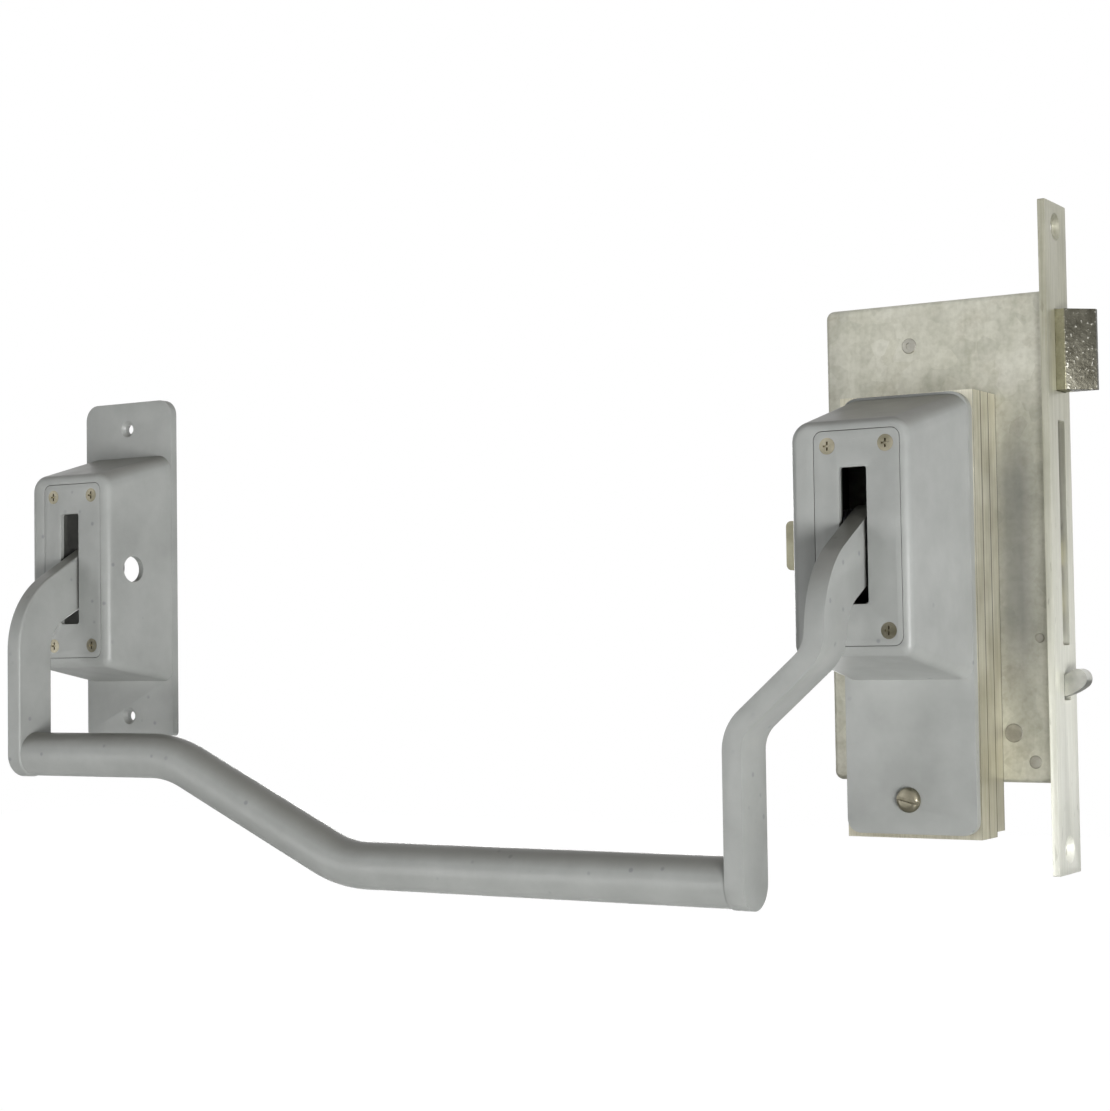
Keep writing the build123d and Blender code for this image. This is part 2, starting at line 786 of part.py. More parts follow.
# Hinge-side housing: the same shell with two countersunk flange holes
with BuildPart() as hinge_side_housing:
    add(hinge_shell.part)
    with Locations(door_plane(hinge_base_y - housing_flange)):
        with Locations((hinge_arm_x, hinge_hole_middle_z)):
            with Locations((0, hinge_hole_pitch / 2), (0, -hinge_hole_pitch / 2)):
                CounterSinkHole(
                    hinge_hole_radius, hinge_sink_radius, depth=housing_flange, counter_sink_angle=90
                )


def slotted_cover(arm_x):
    """The plate let into a housing's front, with the slot that the arm moves in."""
    with BuildPart() as cover:
        with BuildSketch(door_plane(housing_front_y + cover_thickness)):
            with Locations((arm_x + cover_offset_x, housing_front_z)):
                RectangleRounded(cover_width, cover_height, cover_corner)
            with Locations((arm_x, slot_middle_z)):
                RectangleRounded(slot_width, slot_height, slot_corner, mode=Mode.SUBTRACT)
        extrude(amount=cover_thickness)
        with Locations(door_plane(housing_front_y)):
            with Locations(*cover_screw_places(arm_x)):
                CounterSinkHole(
                    cover_screw_radius + seat_gap, cover_screw_head + seat_gap, counter_sink_angle=90
                )
    return cover


def sunk_screws(places, head_plane, head_radius, shank_radius, length):
    """Countersunk cross-recess screws, driven along the plane's normal."""
    sink = head_radius - shank_radius
    on_plane = (Align.CENTER, Align.CENTER, Align.MIN)
    with BuildPart() as screws:
        with Locations(head_plane):
            with Locations(*places):
                Cylinder(shank_radius, length, align=on_plane)
                Cone(head_radius, shank_radius, sink, align=on_plane)
                Box(recess_width, 2 * shank_radius, recess_depth, align=on_plane, mode=Mode.SUBTRACT)
                Box(2 * shank_radius, recess_width, recess_depth, align=on_plane, mode=Mode.SUBTRACT)
    return screws


def inward_plane(y):
    """A plane at depth y whose normal points into the door. Its local Y is down."""
    return Plane(origin=(0, y, 0), x_dir=(1, 0, 0), z_dir=(0, 1, 0))


lock_side_cover = slotted_cover(lock_arm_x)
hinge_side_cover = slotted_cover(hinge_arm_x)


def cover_screws(arm_x):
    """The four screws of one cover."""
    places = [(x, -z) for x, z in cover_screw_places(arm_x)]
    return sunk_screws(
        places, inward_plane(housing_front_y), cover_screw_head, cover_screw_radius, cover_screw_length
    )


lock_side_cover_screws = cover_screws(lock_arm_x)
hinge_side_cover_screws = cover_screws(hinge_arm_x)

# Bearing plate of the spindle crank, screwed into the back of the housing
lock_depth = housing_base_y - housing_front_y
plate_share = bearing_plate / lock_depth
plate_taper_x = (housing_base_width - housing_front_width) / 2 + abs(housing_front_x)
plate_taper_z = lock_base_half_height - lock_front_half_height + abs(housing_front_z)
plate_half_width = housing_base_width / 2 - housing_wall - plate_share * plate_taper_x - plate_gap
plate_half_height = lock_base_half_height - housing_wall - plate_share * plate_taper_z - plate_gap
plate_corner = housing_top_corner - housing_wall
with BuildPart() as crank_plate:
    with BuildSketch(door_plane(housing_base_y)):
        with Locations((lock_housing_x, 0)):
            RectangleRounded(2 * plate_half_width, 2 * plate_half_height, plate_corner)
        with Locations((spindle_x, 0)):
            Circle(crank_journal_radius + running_gap, mode=Mode.SUBTRACT)
        with Locations(*fixings_at):
            Circle(fixing_radius + seat_gap, mode=Mode.SUBTRACT)
    extrude(amount=bearing_plate)
    with Locations(inward_plane(housing_base_y)):
        with Locations(*bearing_screws_at):
            CounterSinkHole(
                bearing_screw_radius + seat_gap, bearing_screw_head + seat_gap,
                depth=bearing_plate, counter_sink_angle=90,
            )
bearing_plate_screws = sunk_screws(
    bearing_screws_at, door_plane(housing_base_y), bearing_screw_head, bearing_screw_radius,
    bearing_plate + bearing_screw_length - slide_gap,
)

# Screws that hold the housing through the packing plates in the case's bushes
fixing_end_y = case_inner_front_y + fixing_bush_depth
with BuildPart() as housing_fixing_screws:
    with BuildSketch(door_plane(plate_front_y)):
        with Locations(*fixings_at):
            Circle(fixing_head_radius)
    extrude(amount=fixing_head_height)
    with BuildSketch(door_plane(plate_front_y)):
        with Locations(*fixings_at):
            Circle(fixing_radius)
    extrude(amount=-(fixing_end_y - plate_front_y))
    with BuildSketch(door_plane(plate_front_y - fixing_head_height)):
        with Locations(*fixings_at):
            RegularPolygon(fixing_radius, 6)
    extrude(amount=-fixing_socket_depth, mode=Mode.SUBTRACT)

# Slotted screw through the long flange
with BuildPart() as flange_screw:
    with BuildSketch(door_plane(plate_front_y)):
        with Locations(flange_screw_at):
            Circle(flange_screw_head)
    extrude(amount=flange_screw_height)
    fillet(flange_screw.edges().group_by(Axis.Y)[0], radius=flange_screw_dome)
    with BuildSketch(door_plane(plate_front_y)):
        with Locations(flange_screw_at):
            Circle(fixing_radius)
    extrude(amount=-(case_front_y - plate_front_y - slide_gap))
    with BuildSketch(door_plane(plate_front_y - flange_screw_height)):
        with Locations(flange_screw_at):
            Rectangle(3 * flange_screw_head, flange_screw_slot, rotation=flange_screw_turn)
    extrude(amount=-flange_screw_slot, mode=Mode.SUBTRACT)


def bushes(arm_x, cheek_gap):
    """Flanged bearing bushes in the two cheeks of a housing."""
    with BuildPart() as pair:
        for side in (-1, 1):
            with BuildSketch(side_plane(arm_x + side * cheek_gap)):
                with Locations(arm_pivot):
                    Circle(bush_radius)
            extrude(amount=side * cheek_thickness)
            with BuildSketch(side_plane(arm_x + side * cheek_gap)):
                with Locations(arm_pivot):
                    Circle(bush_flange_radius)
            extrude(amount=-side * bush_flange)
        with BuildSketch(side_plane(arm_x)):
            with Locations(arm_pivot):
                Circle(axle_radius + running_gap)
        extrude(amount=cheek_gap + cheek_thickness, both=True, mode=Mode.SUBTRACT)
    return pair


def axle(arm_x, cheek_gap):
    """A pivot axle with a circlip groove outside each cheek."""
    groove_start = cheek_gap + cheek_thickness + slide_gap
    with BuildPart() as bar:
        with BuildSketch(side_plane(arm_x)):
            with Locations(arm_pivot):
                Circle(axle_radius)
        extrude(amount=groove_start + circlip_thickness + axle_tail, both=True)
        for side in (-1, 1):
            with BuildSketch(side_plane(arm_x + side * groove_start)):
                with Locations(arm_pivot):
                    Circle(axle_radius)
                    Circle(axle_radius - circlip_groove_depth, mode=Mode.SUBTRACT)
            extrude(amount=side * circlip_thickness, mode=Mode.SUBTRACT)
    return bar


def circlips(arm_x, cheek_gap):
    """The two open rings that hold an axle between its cheeks."""
    groove_start = cheek_gap + cheek_thickness + slide_gap
    with BuildPart() as pair:
        for side in (-1, 1):
            with BuildSketch(side_plane(arm_x + side * groove_start)):
                with Locations(arm_pivot):
                    Circle(circlip_radius)
                    Circle(axle_radius - circlip_groove_depth + seat_gap, mode=Mode.SUBTRACT)
                with Locations((arm_pivot_y, arm_pivot_z - circlip_radius)):
                    Rectangle(axle_radius, 2 * axle_radius, mode=Mode.SUBTRACT)
            extrude(amount=side * circlip_thickness)
    return pair


lock_side_bushes = bushes(lock_arm_x, lock_cheek_gap)
hinge_side_bushes = bushes(hinge_arm_x, hinge_cheek_gap)
lock_side_axle = axle(lock_arm_x, lock_cheek_gap)
hinge_side_axle = axle(hinge_arm_x, hinge_cheek_gap)
lock_side_circlips = circlips(lock_arm_x, lock_cheek_gap)
hinge_side_circlips = circlips(hinge_arm_x, hinge_cheek_gap)


def arm_flat(x, bar_z, half_thickness):
    """The arm's side outline: hub, sloping blade, bend, leg and rounded end."""
    leg_front = arm_leg_y - arm_leg_width / 2
    leg_back = arm_leg_y + arm_leg_width / 2
    top_start = around(arm_pivot, arm_hub_radius, 90 + arm_top_slope)
    bottom_start = around(arm_pivot, arm_hub_radius, arm_bottom_slope - 90)
    outer_z = top_start[1] - (top_start[0] - leg_front) * tan(radians(arm_top_slope))
    inner_z = bottom_start[1] - (bottom_start[0] - leg_back) * tan(radians(arm_bottom_slope))
    with BuildPart() as flat:
        with BuildSketch(side_plane(x)):
            with BuildLine():
                FilletPolyline(
                    top_start, (leg_front, outer_z), (leg_front, bar_z), radius=arm_outer_bend
                )
                Line((leg_front, bar_z), (leg_back, bar_z))
                FilletPolyline(
                    (leg_back, bar_z), (leg_back, inner_z), bottom_start, radius=arm_inner_bend
                )
                Line(bottom_start, top_start)
            make_face()
            with Locations(arm_pivot):
                Circle(arm_hub_radius)
            with Locations((arm_leg_y, bar_z)):
                Circle(arm_leg_width / 2)
        extrude(amount=half_thickness, both=True)
    return flat


def pin_bore(x):
    """The place of a drive pin's bore: upright, through an axle."""
    return Plane(origin=(x, arm_pivot_y, arm_pivot_z))


fork_back_x = lock_arm_x + lock_cheek_gap - bush_flange - slide_gap - fork_thickness
fork_middle_x = fork_back_x + fork_thickness / 2
lock_hub_left_x = lock_arm_x - lock_cheek_gap + bush_flange + slide_gap
hinge_hub_half = hinge_cheek_gap - bush_flange - slide_gap
spring_foot_at = (arm_pivot_y + return_spring_radius, arm_pivot_z)

# Hinge-side arm: flat bar that stays in one plane
hinge_flat = arm_flat(hinge_arm_x, bar_high_z, arm_thickness / 2)
with BuildPart() as hinge_side_arm:
    add(hinge_flat.part)
    rims = hinge_side_arm.faces().filter_by(Axis.X).edges()
    fillet(rims, radius=arm_edge)
    with BuildSketch(side_plane(hinge_arm_x)):
        with Locations(arm_pivot):
            Circle(hub_tube_radius)
    extrude(amount=hinge_hub_half, both=True)
    with BuildSketch(side_plane(hinge_arm_x)):
        with Locations(arm_pivot):
            Circle(axle_radius + seat_gap)
    extrude(amount=hinge_hub_half, both=True, mode=Mode.SUBTRACT)

# Lock-side arm: the same flat bar, cranked sideways below the housing
joggle_x = lock_arm_x + joggle_shift
lock_flat = arm_flat((lock_arm_x + joggle_x) / 2, bar_low_z, abs(joggle_shift))
with BuildPart() as lock_side_arm:
    add(lock_flat.part)
    with BuildSketch(door_plane(arm_leg_y)):
        with BuildLine():
            FilletPolyline(
                (lock_arm_x, 2 * arm_hub_radius),
                (lock_arm_x, joggle_top_z),
                (joggle_x, joggle_bottom_z),
                (joggle_x, bar_low_z - arm_leg_width),
                radius=joggle_bend_radius,
            )
        trace(line_width=arm_thickness)
    extrude(amount=-arm_leg_y, both=True, mode=Mode.INTERSECT)
    with BuildSketch(side_plane(lock_hub_left_x)):
        with Locations(arm_pivot):
            Circle(hub_tube_radius)
    extrude(amount=fork_back_x - lock_hub_left_x)
    with BuildSketch(side_plane(lock_hub_left_x)):
        with Locations(arm_pivot):
            Circle(axle_radius + seat_gap)
    extrude(amount=fork_back_x - lock_hub_left_x, mode=Mode.SUBTRACT)
    with BuildSketch(side_plane(lock_arm_x - arm_thickness / 2)):
        with Locations(spring_foot_at):
            Circle(return_spring_wire + slide_gap)
    extrude(amount=arm_thickness / 2, mode=Mode.SUBTRACT)
    with BuildSketch(pin_bore(lock_arm_x)):
        Circle(drive_pin_radius + seat_gap)
    extrude(amount=arm_hub_radius, both=True, mode=Mode.SUBTRACT)

# Push bar: one bent tube between the arms
bar_start_x = hinge_arm_x + arm_thickness / 2
bar_end_x = joggle_x - arm_thickness / 2
with BuildPart() as push_bar:
    with BuildLine(door_plane(arm_leg_y)):
        bar_path = FilletPolyline(
            (bar_start_x, bar_high_z),
            (bar_bend_high_x, bar_high_z),
            (bar_bend_low_x, bar_low_z),
            (bar_end_x, bar_low_z),
            radius=bar_bend_radius,
        )
    with BuildSketch(Plane(origin=bar_path @ 0, z_dir=bar_path % 0)):
        Circle(bar_diameter / 2)
        Circle(bar_diameter / 2 - bar_wall, mode=Mode.SUBTRACT)
    sweep()

# Drive fork: turns with the lock-side axle and lifts the crank's ball
fork_plane = Plane(
    origin=(fork_back_x, arm_pivot_y, arm_pivot_z),
    x_dir=(0, cos(radians(press_angle / 2)), -sin(radians(press_angle / 2))),
    z_dir=(1, 0, 0),
)
fork_slot = 2 * (ball_radius + ball_gap)
fork_slot_start = ball_distance - ball_radius - slide_gap
with BuildPart() as drive_fork:
    with BuildSketch(fork_plane):
        Circle(fork_hub_radius)
        with Locations((fork_reach / 2, 0)):
            Rectangle(fork_reach, fork_slot + 2 * fork_prong)
        with Locations((fork_slot_start + fork_reach / 2, 0)):
            Rectangle(fork_reach, fork_slot, mode=Mode.SUBTRACT)
        Circle(axle_radius + seat_gap, mode=Mode.SUBTRACT)
    extrude(amount=fork_thickness)
    with BuildSketch(pin_bore(fork_middle_x)):
        Circle(drive_pin_radius + seat_gap)
    extrude(amount=fork_hub_radius, both=True, mode=Mode.SUBTRACT)

# Pins through the axle: one in the fork, one in the arm
with BuildPart() as lock_axle:
    add(lock_side_axle.part)
    for x in (lock_arm_x, fork_middle_x):
        with BuildSketch(pin_bore(x)):
            Circle(drive_pin_radius + seat_gap)
        extrude(amount=axle_radius, both=True, mode=Mode.SUBTRACT)
with BuildPart() as drive_pins:
    for x in (lock_arm_x, fork_middle_x):
        with BuildSketch(pin_bore(x)):
            Circle(drive_pin_radius)
        extrude(amount=drive_pin_half_length, both=True)

# Spindle crank: disc, ball on its neck, journal in the bearing plate
crank_pin_at = around((spindle_x, 0), crank_radius, -spindle_angle / 2)
with BuildPart() as spindle_crank:
    with BuildSketch(door_plane(crank_back_y)):
        with Locations((spindle_x, 0)):
            Circle(crank_disc_radius)
    extrude(amount=crank_thickness)
    with BuildSketch(door_plane(crank_back_y)):
        with Locations((spindle_x, 0)):
            Circle(crank_journal_radius)
    extrude(amount=-bearing_plate)
    with BuildSketch(door_plane(crank_front_y)):
        with Locations(crank_pin_at):
            Circle(ball_neck_radius)
    extrude(amount=crank_front_y - ball_y)
    with Locations((crank_pin_at[0], ball_y, crank_pin_at[1])):
        Sphere(ball_radius)
    with BuildSketch(door_plane(crank_front_y)):
        with Locations((spindle_x, 0)):
            Rectangle(spindle_hole, spindle_hole)
    extrude(amount=-(crank_thickness + bearing_plate), mode=Mode.SUBTRACT)

# Spindle: square bar from the crank through the packing plates into the follower
with BuildPart() as spindle:
    with BuildSketch(door_plane(crank_front_y)):
        with Locations((spindle_x, 0)):
            Rectangle(spindle_width, spindle_width)
    extrude(amount=-(case_inner_rear_y - crank_front_y))


def coil(start_plane, radius, wire, length, turns):
    """A round-wire coil along the plane's normal, starting on its X axis."""
    with BuildPart() as upright:
        with BuildLine():
            path = Helix(pitch=length / turns, height=length, radius=radius)
        with BuildSketch(Plane(origin=path @ 0, z_dir=path % 0)):
            Circle(wire)
        sweep(is_frenet=True)
    with BuildPart() as spring:
        add(upright.part.moved(start_plane.location))
    return spring


# Latch spring: pushes the latch tail out from the back of the case
latch_spring = coil(
    Plane(
        origin=(case_back_x + case_sheet + latch_spring_wire, bolt_line_y, latch_guide_z),
        x_dir=(0, 0, 1),
        z_dir=(1, 0, 0),
    ),
    latch_spring_radius,
    latch_spring_wire,
    latch_tail_end_x - case_back_x - case_sheet - 2 * latch_spring_wire,
    latch_spring_turns,
)

# Follower spring: stands on its seat and lifts the follower's lug
follower_spring_top_z = lug_tip_at[1] - follower_lug_tip - follower_spring_wire
follower_spring_start_z = follower_spring_foot_z + follower_spring_wire
follower_spring = coil(
    Plane(
        origin=(follower_spring_x, bolt_line_y, follower_spring_start_z),
        x_dir=(1, 0, 0),
        z_dir=(0, 0, 1),
    ),
    follower_spring_radius,
    follower_spring_wire,
    follower_spring_top_z - follower_spring_start_z,
    follower_spring_turns,
)

# Return spring: around the lock-side hub, one leg on the housing's front wall
return_spring_left_x = lock_hub_left_x + return_spring_wire + slide_gap
return_spring_right_x = lock_arm_x - arm_thickness / 2 - return_spring_wire
return_coil = coil(
    Plane(
        origin=(return_spring_left_x, arm_pivot_y, arm_pivot_z), x_dir=(0, -1, 0), z_dir=(1, 0, 0)
    ),
    return_spring_radius,
    return_spring_wire,
    return_spring_right_x - return_spring_left_x,
    return_spring_turns,
)
with BuildPart() as return_spring:
    add(return_coil.part)
    with BuildSketch(
        Plane(origin=(return_spring_left_x, arm_pivot_y - return_spring_radius, -leg_root))
    ):
        Circle(return_spring_wire - leg_step)
    extrude(amount=return_spring_leg)
    with BuildSketch(side_plane(return_spring_right_x)):
        with Locations(spring_foot_at):
            Circle(return_spring_wire - leg_step)
    extrude(amount=arm_thickness / 2)

# Trigger spring: around the trigger's pin, one leg on the forend, one in the web
trigger_coil_y = case_inner_front_y + 2 * trigger_spring_wire
trigger_coil = coil(
    Plane(
        origin=(trigger_pivot_x, trigger_coil_y, trigger_pivot_z),
        x_dir=(1, 0, 0),
        z_dir=(0, 1, 0),
    ),
    trigger_spring_radius,
    trigger_spring_wire,
    trigger_spring_length,
    trigger_spring_turns,
)
trigger_coil_end_y = trigger_coil_y + trigger_spring_length
web_hole_at = (trigger_pivot_x - trigger_spring_radius, trigger_pivot_z - trigger_spring_leg)
with BuildPart() as trigger_spring:
    add(trigger_coil.part)
    with BuildSketch(
        Plane(origin=(trigger_pivot_x + trigger_spring_radius, trigger_coil_y, trigger_pivot_z - leg_root))
    ):
        Circle(trigger_spring_wire - leg_step)
    extrude(amount=trigger_spring_leg)
    with BuildSketch(Plane(origin=(web_hole_at[0], trigger_coil_end_y, web_hole_at[1]))):
        Circle(trigger_spring_wire - leg_step)
    extrude(amount=trigger_spring_leg + leg_root)
    with BuildSketch(door_plane(trigger_coil_end_y - trigger_spring_wire)):
        with Locations(web_hole_at):
            Circle(trigger_spring_wire)
    extrude(amount=-(trigger_thickness / 2))

export(forend_plate, "forend_plate")
export(lock_case, "lock_case")
export(case_cover, "case_cover")
export(case_posts, "case_posts")
export(latch_bolt, "latch_bolt")
export(latch_spring, "latch_spring")
export(follower, "follower")
export(follower_spring, "follower_spring")
export(spring_seat, "follower_spring_seat")
export(swing_bolt, "swing_bolt")
export(swing_bolt_pin, "swing_bolt_pin")
export(detent_leaf, "detent_leaf")
export(trigger, "trigger")
export(trigger_pin, "trigger_pin")
export(trigger_spring, "trigger_spring")
export(packing_plates[0], "packing_plate_front")
export(packing_plates[1], "packing_plate_middle")
export(packing_plates[2], "packing_plate_rear")
export(side_lug, "side_lug")
export(lock_side_housing, "lock_side_housing")
export(lock_side_cover, "lock_side_cover")
export(lock_side_cover_screws, "lock_side_cover_screws")
export(crank_plate, "bearing_plate")
export(bearing_plate_screws, "bearing_plate_screws")
export(housing_fixing_screws, "housing_fixing_screws")
export(flange_screw, "flange_screw")
export(lock_side_bushes, "lock_side_bushes")
export(lock_axle, "lock_side_axle")
export(lock_side_circlips, "lock_side_circlips")
export(return_spring, "return_spring")
export(lock_side_arm, "lock_side_arm")
export(drive_fork, "drive_fork")
export(drive_pins, "drive_pins")
export(spindle_crank, "spindle_crank")
export(spindle, "spindle")
export(hinge_side_housing, "hinge_side_housing")
export(hinge_side_cover, "hinge_side_cover")
export(hinge_side_cover_screws, "hinge_side_cover_screws")
export(hinge_side_bushes, "hinge_side_bushes")
export(hinge_side_axle, "hinge_side_axle")
export(hinge_side_circlips, "hinge_side_circlips")
export(hinge_side_arm, "hinge_side_arm")
export(push_bar, "push_bar")
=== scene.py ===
# %% [markdown]
# # Panic exit lock
# This lesson dresses an imported CAD model of a panic exit lock: a lock case with its
# forend, a stack of packing plates, and a cranked push bar that pivots in two
# surface housings. The CAD model already has every piece at its true place, in
# metres, so the lesson starts by loading it and only adds finish, soft edges, a
# camera and light.

# %% Load the fixed frame
import json
from math import cos, radians, sin

import bmesh
import bpy
from mathutils import Matrix, Vector

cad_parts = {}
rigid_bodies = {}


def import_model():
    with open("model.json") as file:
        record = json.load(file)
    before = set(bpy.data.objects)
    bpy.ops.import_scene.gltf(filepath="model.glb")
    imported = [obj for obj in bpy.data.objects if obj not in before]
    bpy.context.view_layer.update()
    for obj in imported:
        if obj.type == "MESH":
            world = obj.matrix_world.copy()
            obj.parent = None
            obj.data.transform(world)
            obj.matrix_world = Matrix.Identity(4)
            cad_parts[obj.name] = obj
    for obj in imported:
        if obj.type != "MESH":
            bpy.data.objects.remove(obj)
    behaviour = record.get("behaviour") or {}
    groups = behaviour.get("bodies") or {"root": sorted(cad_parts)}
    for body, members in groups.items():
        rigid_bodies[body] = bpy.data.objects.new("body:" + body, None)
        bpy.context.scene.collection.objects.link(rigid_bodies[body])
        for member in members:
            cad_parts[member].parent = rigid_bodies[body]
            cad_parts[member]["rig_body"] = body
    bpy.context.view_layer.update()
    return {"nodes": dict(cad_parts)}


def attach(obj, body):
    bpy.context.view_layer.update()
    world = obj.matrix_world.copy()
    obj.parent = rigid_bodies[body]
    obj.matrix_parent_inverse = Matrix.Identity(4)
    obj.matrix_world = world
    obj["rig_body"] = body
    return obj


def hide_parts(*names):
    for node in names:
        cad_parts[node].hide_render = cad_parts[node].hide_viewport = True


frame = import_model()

print("pieces", len(frame["nodes"]))

# %% [markdown]
# Colours are written the way a paint chart gives them, as sRGB hex values, but the
# renderer works with linear light. One function turns one into the other, so no
# colour in the file is a bare row of decimals.

# %% Colour from a hex value
def paint_colour(code):
    """Linear RGBA of an sRGB hex value such as a4a6a8."""
    values = [int(code[i:i + 2], 16) / 255 for i in (0, 2, 4)]
    linear = [v / 12.92 if v <= 0.04045 else ((v + 0.055) / 1.055) ** 2.4 for v in values]
    return (*linear, 1.0)


print("mid grey", [round(v, 3) for v in paint_colour("808080")])

# %% [markdown]
# A material is a small graph. It could be drawn by hand in the node editor, but in
# code every value can be read and changed in one place. Each box of the graph is
# added by one function, which takes the settings and the sockets that feed it. A
# setting whose name is a socket sets that socket, and any other sets the box itself.
# All patterns are measured in millimetres on the object, so they stay with a piece
# when it moves.

# %% Add a shader node
def shader_node(tree, kind, settings=None, feeds=None):
    """Add one node with its settings, and link its inputs to other sockets."""
    made = tree.nodes.new(kind)
    for name, value in (settings or {}).items():
        if name in made.inputs:
            made.inputs[name].default_value = value
        else:
            setattr(made, name, value)
    for name, socket in (feeds or {}).items():
        tree.links.new(socket, made.inputs[name])
    return made


def start_finish(name, slot_note):
    """A new material with its shader and its coordinates in millimetres."""
    finish = bpy.data.materials.new(name)
    finish.use_nodes = True
    tree = finish.node_tree
    tree.nodes.clear()
    shader = shader_node(tree, "ShaderNodeBsdfPrincipled")
    shader_node(tree, "ShaderNodeOutputMaterial", feeds={"Surface": shader.outputs[0]})
    place = shader_node(tree, "ShaderNodeTexCoord")
    millimetres = shader_node(
        tree, "ShaderNodeMapping", {"Scale": (1000, 1000, 1000)}, {"Vector": place.outputs["Object"]}
    )
    print(name, "-", slot_note)
    return finish, tree, shader, millimetres.outputs[0]


print("node builder ready")

# %% [markdown]
# Wear and dirt could come from photographed textures, but those need unwrapped
# surfaces and show seams. Clouds of noise, worked out from the place in space, need
# neither. Their size is given as clouds in a millimetre, so 0.1 means a cloud about
# a centimetre wide. Squeezed coordinates draw the clouds out along an axis, for
# rolling lines, drawn grain and runs.

# %% Clouds and squeezed coordinates
def noise(tree, place, per_mm, detail, roughness=0.5):
    """A cloudy value with this many clouds in a millimetre."""
    settings = {"Scale": per_mm, "Detail": detail, "Roughness": roughness}
    return shader_node(tree, "ShaderNodeTexNoise", settings, {"Vector": place}).outputs["Fac"]


def stretched(tree, place, scale):
    """The millimetre coordinates squeezed along some axes."""
    return shader_node(tree, "ShaderNodeMapping", {"Scale": scale}, {"Vector": place}).outputs[0]


def part_of(tree, vector, axis):
    """One part of a vector socket, by the letter of its axis."""
    return shader_node(tree, "ShaderNodeSeparateXYZ", feeds={"Vector": vector}).outputs[axis]


def facing(tree, axis):
    """How far the surface is turned towards an axis of the object, from -1 to 1."""
    coordinates = shader_node(tree, "ShaderNodeTexCoord")
    return part_of(tree, coordinates.outputs["Normal"], axis)


print("patterns ready")

# %% [markdown]
# Values and colours then meet in a few ways: a ramp turns a value into a colour
# between two others, a mix lays one colour over another, and arithmetic joins two
# values. The last helper turns a pattern into relief of a real depth.

# %% Ramps, mixes, arithmetic and relief
def ramp_of(tree, socket, low, high, dark="000000", light="ffffff"):
    """Spread a value between two limits over two colours."""
    ramp = shader_node(tree, "ShaderNodeValToRGB", feeds={"Fac": socket})
    ramp.color_ramp.elements[0].position = low
    ramp.color_ramp.elements[1].position = high
    ramp.color_ramp.elements[0].color = paint_colour(dark)
    ramp.color_ramp.elements[1].color = paint_colour(light)
    return ramp.outputs["Color"]


def fill_inputs(tree, node, inputs):
    """Give inputs their values, each a socket, a hex colour or a number."""
    for index, given in inputs.items():
        if isinstance(given, bpy.types.NodeSocket):
            tree.links.new(given, node.inputs[index])
        elif isinstance(given, str):
            node.inputs[index].default_value = paint_colour(given)
        else:
            node.inputs[index].default_value = given


def mixed(tree, amount, first, second, blend="MIX"):
    """Mix two colours, each a socket or a hex value, by a socket or a number."""
    mix = shader_node(tree, "ShaderNodeMix", {"data_type": "RGBA", "blend_type": blend})
    fill_inputs(tree, mix, {0: amount, 6: first, 7: second})
    return mix.outputs[2]


def math_of(tree, operation, first, second, clamp=False):
    """Join two values, each a socket or a number, by an operation."""
    node = shader_node(tree, "ShaderNodeMath", {"operation": operation, "use_clamp": clamp})
    fill_inputs(tree, node, {0: first, 1: second})
    return node.outputs[0]


def spread(tree, value, start, end, top=1.0):
    """A value that grows from 0 to top while another goes from start to end."""
    settings = {"From Min": start, "From Max": end, "To Max": top}
    return shader_node(tree, "ShaderNodeMapRange", settings, {"Value": value}).outputs[0]


def relief(tree, shader, height, strength, depth_mm):
    """Tilt the shader's surface by a pattern of this depth."""
    settings = {"Strength": strength, "Distance": depth_mm / 1000}
    bump = shader_node(tree, "ShaderNodeBump", settings, {"Height": height})
    tree.links.new(bump.outputs[0], shader.inputs["Normal"])


print("mixing helpers ready")

# %% [markdown]
# Shade falls where light doesn't reach: in slots, hollows and the corners between
# two pieces. Here that shade is painted into the colour. It could be painted on by
# hand, but a measure of how closed in a point is, within a reach in millimetres,
# finds every corner by itself. The other helper turns a place along an axis into a
# soft step, for a finish that changes from one end of a piece to the other.

# %% Closed corners and steps along an axis
def closed_in(tree, reach_mm, low, high):
    """White in the open and black where surfaces this near shut a point in."""
    near = shader_node(tree, "ShaderNodeAmbientOcclusion", {"Distance": reach_mm / 1000, "samples": 8})
    return ramp_of(tree, near.outputs["AO"], low, high)


def along(tree, place, axis, start_mm, end_mm):
    """A value that grows from 0 to 1 between two places on an axis, in millimetres."""
    return spread(tree, part_of(tree, place, axis), start_mm, end_mm)


print("corner helpers ready")
